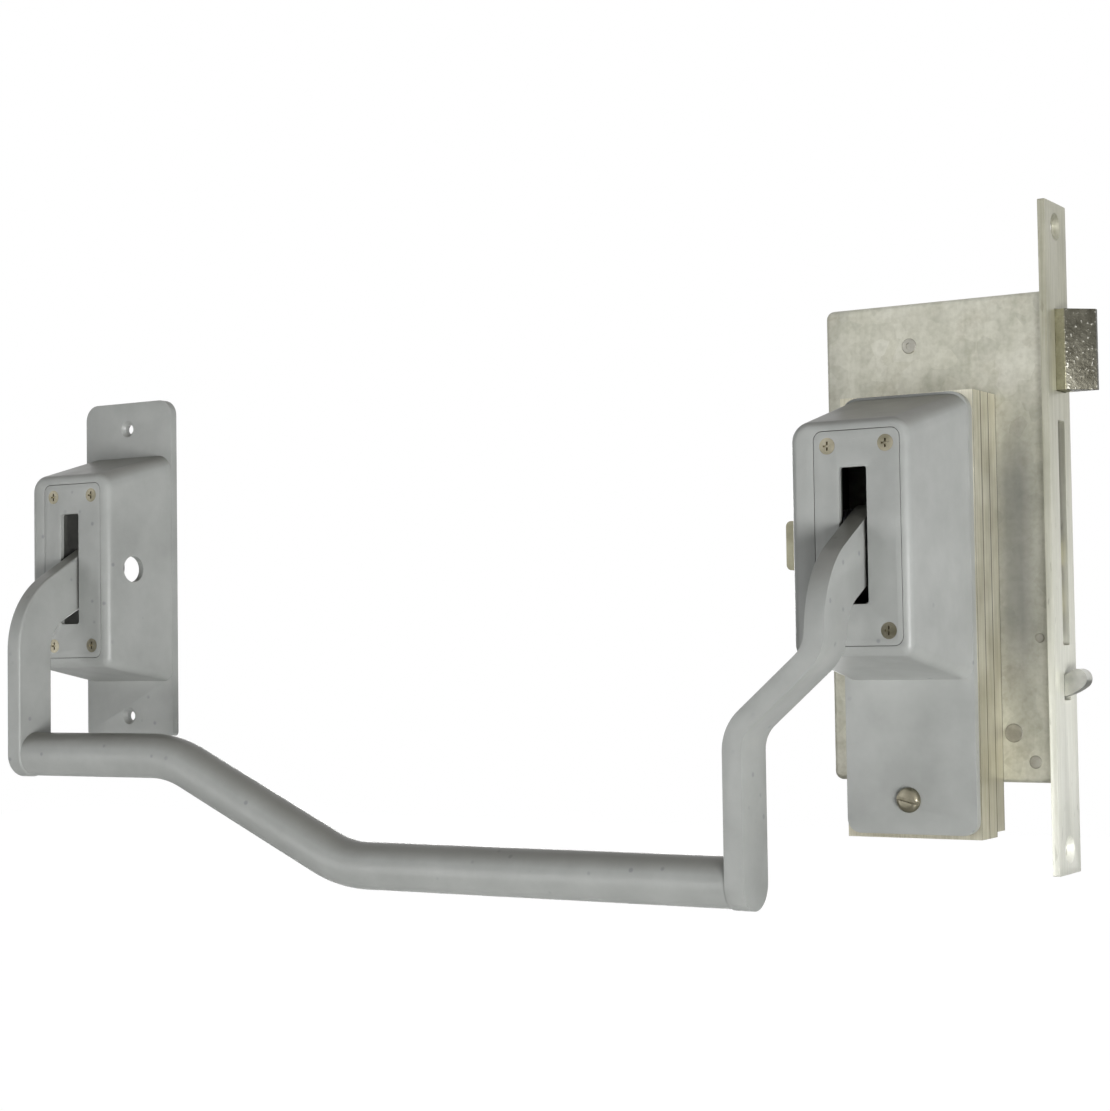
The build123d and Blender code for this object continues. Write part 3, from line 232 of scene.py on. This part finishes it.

# %% [markdown]
# ## Grey enamel
# The housings, cover plates, arms and push bar have one coat of satin stove enamel
# over a cast or bent steel body. It is a cool light grey, slightly cloudy where
# hands have polished it, with a few dark specks of 1 to 2 mm and a faint orange
# peel of about 1 mm. What faces up turns dark brown, for dust and for painted shade,
# as the light from below leaves the tops dark. Slots and corners get painted shade.
# Enamel isn't a metal, so it gets IOR 1.5 and a middling roughness. The specks have
# hardly any height, so spots in the colour do, and only the peel is relief.

# %% Stove enamel
enamel, tree, shader, place = start_finish("satin_stove_enamel", "housings, covers, arms, bar")
grey = ramp_of(tree, noise(tree, place, 0.045, 4.0, 0.6), 0.3, 0.72, "9a9c99", "aaaca9")
specks = shader_node(tree, "ShaderNodeTexVoronoi", {"Scale": 0.11}, {"Vector": place})
speck = ramp_of(tree, specks.outputs["Distance"], 0.06, 0.12, "ffffff", "000000")
speckled_area = ramp_of(tree, noise(tree, place, 0.03, 1.0), 0.48, 0.55)
speck = mixed(tree, 1.0, speck, speckled_area, "MULTIPLY")
speck = mixed(tree, 1.0, speck, "a8a8a8", "MULTIPLY")
grey = mixed(tree, speck, grey, "5c6068")
# Dust and painted shade: faces turned up get dark brown, as the light from below leaves the tops dark.
dust_and_top_shade = spread(tree, facing(tree, "Z"), 0.35, 1.0, top=0.75)
grey = mixed(tree, dust_and_top_shade, grey, "625e50")
# Painted shade: the enamel turns dark grey where it is closed in, in slots and corners.
grey = mixed(tree, closed_in(tree, 14.0, 0.1, 0.5), "484842", grey)
tree.links.new(grey, shader.inputs["Base Color"])
polish = ramp_of(tree, noise(tree, place, 0.08, 3.0), 0.3, 0.7, "949494", "a8a8a8")
tree.links.new(polish, shader.inputs["Roughness"])
relief(tree, shader, noise(tree, place, 0.9, 2.0), 0.15, 0.2)
shader.inputs["IOR"].default_value = 1.5

# %% [markdown]
# ## Zinc-plated strip
# The forend is rolled steel strip with a zinc plating. Its colour is painted dull
# and a little green at the top and bright at the foot: painted shade and light, as
# the light falls from low down. Rolling leaves fine lines along its length, about
# 1 mm apart, and use leaves short dark marks. The lines are too shallow to model,
# so they are relief in the finish. The bloom on old zinc scatters light, so it is
# only part metal.

# %% Zinc plating
zinc, tree, shader, place = start_finish("zinc_plated_strip", "forend")
lines = noise(tree, stretched(tree, place, (1.0, 1.0, 0.03)), 1.1, 3.0)
bloom = noise(tree, place, 0.05, 5.0, 0.65)
# Painted shade and light: dull at the top and bright at the foot, as the light comes from low down.
shaded_top = ramp_of(tree, bloom, 0.32, 0.68, "94927f", "aeac9a")
bright = ramp_of(tree, bloom, 0.32, 0.68, "eeefe2", "f6f6ec")
tone = mixed(tree, along(tree, place, "Z", 70.0, -90.0), shaded_top, bright)
tone = mixed(tree, 0.14, tone, ramp_of(tree, lines, 0.35, 0.65, "7c7b66", "e8e8dc"))
marks = noise(tree, stretched(tree, place, (0.5, 0.5, 0.12)), 1.0, 2.0)
tone = mixed(tree, ramp_of(tree, marks, 0.68, 0.74, "000000", "909090"), tone, "6d6a58")
tree.links.new(tone, shader.inputs["Base Color"])
tree.links.new(ramp_of(tree, bloom, 0.3, 0.7, "8f8f8f", "b0b0b0"), shader.inputs["Roughness"])
relief(tree, shader, lines, 0.15, 0.2)
shader.inputs["Metallic"].default_value = 0.4

# %% [markdown]
# ## Galvanised sheet
# The lock case is folded from hot-dip galvanised sheet. Years in a door have turned
# it a dull warm grey, and the spangle of the zinc is still there as pale flakes of
# about 6 mm. Over it lie brown stains a centimetre or two wide, bluer patches where
# it was wiped, faint runs down the sheet and a fine speckle. Each is a layer of its
# own, laid over the last one, so that one can be changed without the others.

# %% Galvanised sheet
galvanised, tree, shader, place = start_finish("galvanised_sheet", "lock case and cover")
age = noise(tree, place, 0.035, 6.0, 0.6)
tone = ramp_of(tree, age, 0.34, 0.66, "acac9d", "cdccbf")
flakes = shader_node(tree, "ShaderNodeTexVoronoi", {"Scale": 0.16}, {"Vector": place})
tone = mixed(tree, 0.08, tone, ramp_of(tree, flakes.outputs["Color"], 0.2, 0.8), "OVERLAY")
stain = noise(tree, place, 0.07, 5.0, 0.7)
tone = mixed(tree, ramp_of(tree, stain, 0.54, 0.72, "000000", "b0b0b0"), tone, "7f785f")
wipe = noise(tree, stretched(tree, place, (1.0, 1.0, 0.3)), 0.03, 3.0)
tone = mixed(tree, ramp_of(tree, wipe, 0.55, 0.72, "000000", "8c8c8c"), tone, "7f8482")
runs = noise(tree, stretched(tree, place, (1.0, 1.0, 0.12)), 0.4, 4.0)
tone = mixed(tree, 0.09, tone, ramp_of(tree, runs, 0.35, 0.62, "77725c", "d6d4c8"))
speckle = noise(tree, place, 0.5, 5.0)
tone = mixed(tree, 0.12, tone, ramp_of(tree, speckle, 0.35, 0.62, "77725c", "dddbd0"))

# %% [markdown]
# Two places on the case differ from the rest. Brown rust has started along the rear
# edge, 8 mm wide, and a painted reflection, a dark bluish band, stands beside the
# packing plates. Noise alone would put such marks anywhere, so these are placed by
# limits along the axes. The band fades at its sides and at both ends.

# %% Rusty edge and painted reflection band
case_rear_mm = 1000 * bpy.data.objects["lock_case"].bound_box[0][0]
rust_width_mm = 8.0
near_edge = along(tree, place, "X", case_rear_mm + rust_width_mm, case_rear_mm)
rusty = ramp_of(tree, stain, 0.42, 0.72, "000000", "c0c0c0")
tone = mixed(tree, math_of(tree, "MULTIPLY", near_edge, rusty), tone, "6b5f45")
# Painted reflection: a dark bluish band on the case beside the packing plates.
band = along(tree, place, "X", -30.0, -17.0)
for axis, start_mm, end_mm in (("X", -2.0, -12.0), ("Z", 60.0, 20.0), ("Z", -75.0, -30.0)):
    band = math_of(tree, "MULTIPLY", band, along(tree, place, axis, start_mm, end_mm))
tone = mixed(tree, band, tone, mixed(tree, 0.25, "66686a", tone))
tree.links.new(tone, shader.inputs["Base Color"])
tree.links.new(ramp_of(tree, age, 0.3, 0.7, "a8a8a8", "c0c0c0"), shader.inputs["Roughness"])
relief(tree, shader, stain, 0.1, 0.3)
shader.inputs["Metallic"].default_value = 0.6
print("rear edge at", round(case_rear_mm, 1), "mm")

# %% [markdown]
# ## Untreated aluminium
# The packing plates are sawn from flat aluminium bar. The wide faces are smooth, and
# the edges carry drawn lines along their length. It has a warm beige tint from
# grease, stronger at the foot. Dirt and shade mark the joints between the plates. The
# true gaps are too fine to see from here, so dark lines one plate apart are laid over
# them, on the edges only: painted shade of the gaps, with their dirt.

# %% Sawn aluminium bar
aluminium, tree, shader, place = start_finish("sawn_aluminium_bar", "packing plates")
grain = noise(tree, stretched(tree, place, (1.0, 1.0, 0.02)), 1.6, 3.0)
tone = ramp_of(tree, noise(tree, place, 0.05, 4.0), 0.35, 0.68, "c8c4b0", "efecdc")
tone = mixed(tree, 0.3, tone, ramp_of(tree, grain, 0.35, 0.65, "8b8570", "e2dfd2"))
greasy_foot = math_of(tree, "MULTIPLY", along(tree, place, "Z", -10.0, -75.0), 0.45)
tone = mixed(tree, greasy_foot, tone, "857f66")
front_plate = bpy.data.objects["packing_plate_front"].bound_box
front_mm = 1000 * front_plate[0][1]
plate_mm = 1000 * (front_plate[6][1] - front_plate[0][1])
depth = math_of(tree, "SUBTRACT", part_of(tree, place, "Y"), front_mm)
joint_gap = math_of(tree, "PINGPONG", depth, plate_mm / 2)
wide_face = math_of(tree, "ABSOLUTE", facing(tree, "Y"), 0.0)
# Painted shade and dirt: dark lines at the joints between the plates, on the edges only.
clear_of_joint = math_of(tree, "MAXIMUM", ramp_of(tree, joint_gap, 0.12, 0.4), wide_face)
tone = mixed(tree, clear_of_joint, "4a4535", tone)
tree.links.new(tone, shader.inputs["Base Color"])
relief(tree, shader, grain, 0.2, 0.2)
shader.inputs["Metallic"].default_value = 0.8
shader.inputs["Roughness"].default_value = 0.5
print("plates", round(plate_mm, 1), "mm thick")

# %% [markdown]
# ## Greased latch steel
# The latch head is hard steel, dark with old grease. Its bevel is pitted where it
# has struck the keep: light flecks of about 1 mm on a dark ground. Real pits would
# make the mesh heavy, so they are relief in the finish. The flat strip beside the
# bevel, next to the forend, is olive.

# %% Greased latch steel
latch_steel, tree, shader, place = start_finish("greased_latch_steel", "latch bolt")
mottle = noise(tree, place, 0.16, 6.0, 0.7)
pits = noise(tree, place, 0.8, 3.0)
tone = ramp_of(tree, mottle, 0.35, 0.65, "3e3c33", "615f55")
tone = mixed(tree, ramp_of(tree, pits, 0.62, 0.7, "000000", "c8c8c8"), tone, "d0cec4")
olive = ramp_of(tree, mottle, 0.35, 0.65, "86836a", "a19e84")
flat_end_mm = 3.2
tone = mixed(tree, along(tree, place, "X", flat_end_mm - 0.2, flat_end_mm + 0.3), olive, tone)
tree.links.new(tone, shader.inputs["Base Color"])
relief(tree, shader, pits, 0.5, 0.4)
shader.inputs["Metallic"].default_value = 0.9
shader.inputs["Roughness"].default_value = 0.42

# %% [markdown]
# ## Plain metals inside and the screws
# The other metal pieces differ in colour and polish but share one build: a metal
# that clouds about once a centimetre, with a fine turned or stamped texture. Nickel
# screws are warm and bright, the trigger is satin steel and the swing bolt oily, the
# wire is darker, the circlips are blued and the bushes are sintered bronze. The
# insides of the castings get a dark, hardly metallic finish: painted shade. One
# function makes them all, because only their numbers differ.

# %% Plain metals
def plain_metal(name, note, dark, light, roughness, grain_mm, metallic=0.9):
    """A metal that clouds between two colours, with a texture of this grain size."""
    metal, tree, shader, place = start_finish(name, note)
    tone = ramp_of(tree, noise(tree, place, 0.1, 4.0, 0.6), 0.35, 0.65, dark, light)
    tree.links.new(tone, shader.inputs["Base Color"])
    relief(tree, shader, noise(tree, place, 1.0 / grain_mm, 2.0), 0.15, 0.2)
    shader.inputs["Metallic"].default_value = metallic
    shader.inputs["Roughness"].default_value = roughness
    return metal


nickel = plain_metal("nickel_plated_screw", "cover and flange screws", "75715f", "a39d8b", 0.33, 0.5)
bolt_steel = plain_metal("stamped_bolt_steel", "trigger", "9a9b96", "c4c4bd", 0.38, 0.7)
olive_steel = plain_metal("oiled_bolt_steel", "swing bolt", "6d694c", "96916f", 0.45, 0.7)
bright_steel = plain_metal("turned_steel", "posts, axles, pins, spindle", "8a8880", "b0aea4", 0.4, 0.5)
spring_wire = plain_metal("drawn_spring_wire", "springs", "5d5e60", "84858a", 0.35, 0.4)
blued_steel = plain_metal("blued_spring_steel", "circlips", "23252b", "3a3c44", 0.4, 0.4)
bronze = plain_metal("sintered_bronze", "bushes", "7a5a34", "a37c4a", 0.55, 0.3)
lug_strip = plain_metal("greasy_aluminium_strip", "side lug", "8b8874", "a5a28d", 0.5, 0.8)
sintered = plain_metal("sintered_steel", "follower", "55554f", "74736c", 0.6, 0.3)
# Painted shade: a dark, hardly metallic finish for the insides of the housings, where the slots lie in
# shade.
inside_shade = plain_metal("inside_shade", "insides of the housings", "3a3b38", "50514d", 0.7, 0.6, 0.3)

# %% [markdown]
# Each CAD piece now gets its finish. Rules on the names could pick most of them, but
# a table shows the whole choice, and a new piece that is forgotten here stops the
# script.

# %% Give every CAD piece its finish
finish_of = {
    "forend_plate": zinc,
    "lock_case": galvanised,
    "case_cover": galvanised,
    "case_posts": bright_steel,
    "swing_bolt_pin": bright_steel,
    "trigger_pin": bright_steel,
    "follower_spring_seat": bright_steel,
    "latch_bolt": latch_steel,
    "follower": sintered,
    "swing_bolt": olive_steel,
    "trigger": bolt_steel,
    "detent_leaf": spring_wire,
    "latch_spring": spring_wire,
    "follower_spring": spring_wire,
    "trigger_spring": spring_wire,
    "return_spring": spring_wire,
    "packing_plate_front": aluminium,
    "packing_plate_middle": aluminium,
    "packing_plate_rear": aluminium,
    "side_lug": lug_strip,
    "lock_side_housing": enamel,
    "lock_side_cover": enamel,
    "lock_side_arm": enamel,
    "hinge_side_housing": enamel,
    "hinge_side_cover": enamel,
    "hinge_side_arm": enamel,
    "push_bar": enamel,
    "lock_side_cover_screws": nickel,
    "hinge_side_cover_screws": nickel,
    "flange_screw": nickel,
    "bearing_plate": bright_steel,
    "bearing_plate_screws": bright_steel,
    "housing_fixing_screws": bright_steel,
    "spindle_crank": bright_steel,
    "spindle": bright_steel,
    "drive_fork": bright_steel,
    "drive_pins": bright_steel,
    "lock_side_axle": bright_steel,
    "hinge_side_axle": bright_steel,
    "lock_side_circlips": blued_steel,
    "hinge_side_circlips": blued_steel,
    "lock_side_bushes": bronze,
    "hinge_side_bushes": bronze,
}
cad_pieces = {name: bpy.data.objects[name] for name in frame["nodes"]}
for name, piece in cad_pieces.items():
    for slot in piece.material_slots:
        slot.material = finish_of[name]
    if not piece.material_slots:
        piece.data.materials.append(finish_of[name])
print("finished", len(cad_pieces))

# %% [markdown]
# ## Soft edges
# Paint and casting round every edge of the real housings, covers and arms, and use
# rounds the edges of the latch head and the forend. An edge that catches light is
# what makes a piece look solid. The CAD meshes come as triangles, and long thin ones
# leave a bevel no room, so the flat triangles are joined into whole faces first.

# %% Join the flat triangles of a mesh
def flat_faces(mesh, same_point=1e-6, flatness=0.4):
    """Weld points this near, in metres, and join faces this level, in degrees."""
    work = bmesh.new()
    work.from_mesh(mesh)
    bmesh.ops.remove_doubles(work, verts=work.verts, dist=same_point)
    bmesh.ops.dissolve_limit(
        work, angle_limit=radians(flatness), verts=work.verts, edges=work.edges, delimit=set()
    )
    work.to_mesh(mesh)
    work.free()


print("flat faces ready")

# %% [markdown]
# The edges could be rounded in the CAD model, but that makes its solids slow and
# fragile to build. So each of these pieces gets a twin: a copy of its mesh in whole
# faces, with its sharp edges bevelled by a real radius in millimetres and its
# normals smoothed. The twin replaces the CAD piece in view and rides on the same
# body. The cranked arm has the roundest edges.

# %% Make a soft-edged twin of a CAD piece
def soft_twin(name, radius_mm, steps=3, corner_angle=28, smooth_angle=34):
    """A bevelled copy of a CAD piece that stands in for it and rides on its body."""
    source = cad_pieces[name]
    mesh = source.data.copy()
    mesh.name = name + "_soft"
    flat_faces(mesh)
    twin = bpy.data.objects.new(name + "_soft", mesh)
    bpy.context.scene.collection.objects.link(twin)
    bevel = twin.modifiers.new("edge", "BEVEL")
    bevel.width = radius_mm / 1000
    bevel.segments = steps
    bevel.limit_method = "ANGLE"
    bevel.angle_limit = radians(corner_angle)
    bevel.use_clamp_overlap = True
    bevel.harden_normals = False
    ready = twin.evaluated_get(bpy.context.evaluated_depsgraph_get())
    finished = bpy.data.meshes.new_from_object(ready)
    twin.modifiers.clear()
    twin.data = finished
    for face in finished.polygons:
        face.use_smooth = True
    finished.set_sharp_from_angle(angle=radians(smooth_angle))
    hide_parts(name)
    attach(twin, source["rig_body"])
    print(name, "faces", len(finished.polygons))
    return twin


edge_radius_mm = {
    "lock_side_housing": 0.8,
    "hinge_side_housing": 0.8,
    "lock_side_cover": 0.25,
    "hinge_side_cover": 0.25,
    "lock_side_arm": 1.2,
    "latch_bolt": 0.4,
    "forend_plate": 0.25,
}
twins = {name: soft_twin(name, radius) for name, radius in edge_radius_mm.items()}

# %% [markdown]
# Inside the castings the faces get a dark finish instead of the enamel: painted
# shade, which is what makes the arms' slots look deep. Rays sent out from a face
# could tell whether it is inside, but a countersink traps them too, so the face's
# place decides. It is inside if it lies behind the front wall and either well within
# the side walls or turned towards the middle of the block. The back rim and the
# flanges, which run on above or below the block, keep the enamel. The limits are
# lengths in metres, measured from the middle, front or back, and then two shares of
# the face's normal along an axis.

# %% Painted shade inside the castings
wall = 0.003
core = 0.018
block = 0.041
back_rim = 0.001
squarely = 0.8
facing_front = -0.5


def paint_inside_shade(twin, inside_finish):
    """Give a housing's inner faces a dark finish of painted shade."""
    twin.data.materials.append(inside_finish)
    inner_slot = len(twin.data.materials) - 1
    places = [vertex.co for vertex in twin.data.vertices]
    middle_x = (min(p.x for p in places) + max(p.x for p in places)) / 2
    front_y = min(p.y for p in places)
    back_y = max(p.y for p in places)
    inner = 0
    for face in twin.data.polygons:
        off_x = face.center.x - middle_x
        off_z = face.center.z
        normal = face.normal
        if not front_y + wall < face.center.y < back_y - back_rim or abs(off_z) > block:
            continue
        within = abs(off_x) < core and abs(off_z) < block - 2 * wall and normal.y > facing_front
        side_wall = abs(normal.x) > squarely and normal.x * off_x < 0
        end_wall = abs(normal.z) > squarely and normal.z * off_z < 0
        end_wall = end_wall and abs(off_z) > block / 2
        if within or side_wall or end_wall:
            face.material_index = inner_slot
            inner += 1
    print(twin.name, "inner faces", inner)


for name in ("lock_side_housing", "hinge_side_housing"):
    paint_inside_shade(twins[name], inside_shade)

# %% [markdown]
# ## Camera
# The lens stands to the right of the lock, 0.8 m away, and looks a little upwards.
# It could be placed by eye, but a small error tilts every edge. So its place, turn
# and focal length were worked out from straight edges of the lock in the
# photograph: the forend, the case and the two housings.

# %% Camera
yaw = radians(31.61)
pitch = radians(2.47)
roll = radians(-0.83)
lens_place = (0.25764, -0.75736, -0.03778)
forward = Vector((-sin(yaw) * cos(pitch), cos(yaw) * cos(pitch), sin(pitch)))
level_right = Vector((cos(yaw), sin(yaw), 0))
level_up = level_right.cross(forward)
right = cos(roll) * level_right + sin(roll) * level_up
up = -sin(roll) * level_right + cos(roll) * level_up
lens_data = bpy.data.cameras.new("lock_camera")
lens_data.sensor_width = 36.0
lens_data.lens = 72.37
lens_data.clip_end = 50
lens = bpy.data.objects.new("lock_camera", lens_data)
turn = Matrix((right, up, -forward)).transposed().to_4x4()
lens.matrix_world = Matrix.Translation(lens_place) @ turn
bpy.context.scene.collection.objects.link(lens)
bpy.context.scene.camera = lens
print("camera looks along", [round(v, 3) for v in forward])

# %% [markdown]
# ## Light and floor
# The photograph is lit from low down on the right: undersides are bright and tops
# are dark. A lamp there does that, and it is wide, because a small one left a hard
# glare on the enamel. A weaker one fills from the left, a small weak one draws a
# glint along the edges, and one behind keeps the back readable.

# %% Lamps
def soft_lamp(name, place, target, size, watts):
    """A square lamp of this size in metres that faces its target."""
    data = bpy.data.lights.new(name, "AREA")
    data.size = size
    data.energy = watts
    lamp = bpy.data.objects.new(name, data)
    lamp.location = place
    aim = Vector(target) - Vector(place)
    lamp.rotation_euler = aim.to_track_quat("-Z", "Y").to_euler()
    bpy.context.scene.collection.objects.link(lamp)
    print(name, watts, "W")


middle = (-0.2, -0.05, 0.0)
soft_lamp("low_key", (1.5, -1.4, -0.75), middle, 1.0, 58.0)
soft_lamp("left_fill", (-1.4, -1.9, -0.5), middle, 1.0, 9.0)
soft_lamp("edge_glint", (1.6, -1.25, -0.1), middle, 0.12, 4.0)
soft_lamp("back_fill", (-1.3, 1.9, -0.2), middle, 1.2, 24.0)

# %% [markdown]
# A dim sky keeps the shadows open. A bright one would wash them out, but the
# photograph's background is white. So the sky lights the lock weakly, while the
# camera sees it pure white, and so do reflections.

# %% Sky
sky = bpy.data.worlds.new("studio")
sky.use_nodes = True
bpy.context.scene.world = sky
tree = sky.node_tree
tree.nodes.clear()
soft_sky = shader_node(tree, "ShaderNodeBackground", {"Color": paint_colour("e6e8ea"), "Strength": 0.2})
white_sky = shader_node(tree, "ShaderNodeBackground", {"Color": (1, 1, 1, 1), "Strength": 1.0})
rays = shader_node(tree, "ShaderNodeLightPath").outputs
seen = math_of(tree, "ADD", rays["Is Camera Ray"], rays["Is Glossy Ray"], clamp=True)
seen = math_of(tree, "ADD", seen, rays["Is Transmission Ray"], clamp=True)
sky_mix = shader_node(
    tree, "ShaderNodeMixShader", feeds={0: seen, 1: soft_sky.outputs[0], 2: white_sky.outputs[0]}
)
shader_node(tree, "ShaderNodeOutputWorld", feeds={"Surface": sky_mix.outputs[0]})
bpy.context.scene.view_settings.view_transform = "Standard"
print("sky", sky.name)

# %% [markdown]
# The pale floor lies well below the lock, under the lamps. Lit by the lamps and the
# sky alone it comes out grey. So the camera sees it almost fully as its own white
# glow, which also leaves its shadow too faint to notice.

# %% Floor
floor_mesh = bpy.data.meshes.new("floor")
reach = 9.0
floor_z = -0.9
glow_share = 0.94
corners = [(x * reach, y * reach, floor_z) for x, y in ((-1, -1), (1, -1), (1, 1), (-1, 1))]
floor_mesh.from_pydata(corners, [], [(0, 1, 2, 3)])
floor = bpy.data.objects.new("floor", floor_mesh)
bpy.context.scene.collection.objects.link(floor)
board = bpy.data.materials.new("white_board")
board.use_nodes = True
tree = board.node_tree
tree.nodes.clear()
matt = shader_node(tree, "ShaderNodeBsdfDiffuse", {"Color": paint_colour("f4f4f2")})
glow = shader_node(tree, "ShaderNodeEmission", {"Color": (1, 1, 1, 1), "Strength": 1.06})
rays = shader_node(tree, "ShaderNodeLightPath").outputs
share = math_of(tree, "MULTIPLY", rays["Is Camera Ray"], glow_share)
board_mix = shader_node(
    tree, "ShaderNodeMixShader", feeds={0: share, 1: matt.outputs[0], 2: glow.outputs[0]}
)
shader_node(tree, "ShaderNodeOutputMaterial", feeds={"Surface": board_mix.outputs[0]})
floor_mesh.materials.append(board)
print("floor at", floor_z)
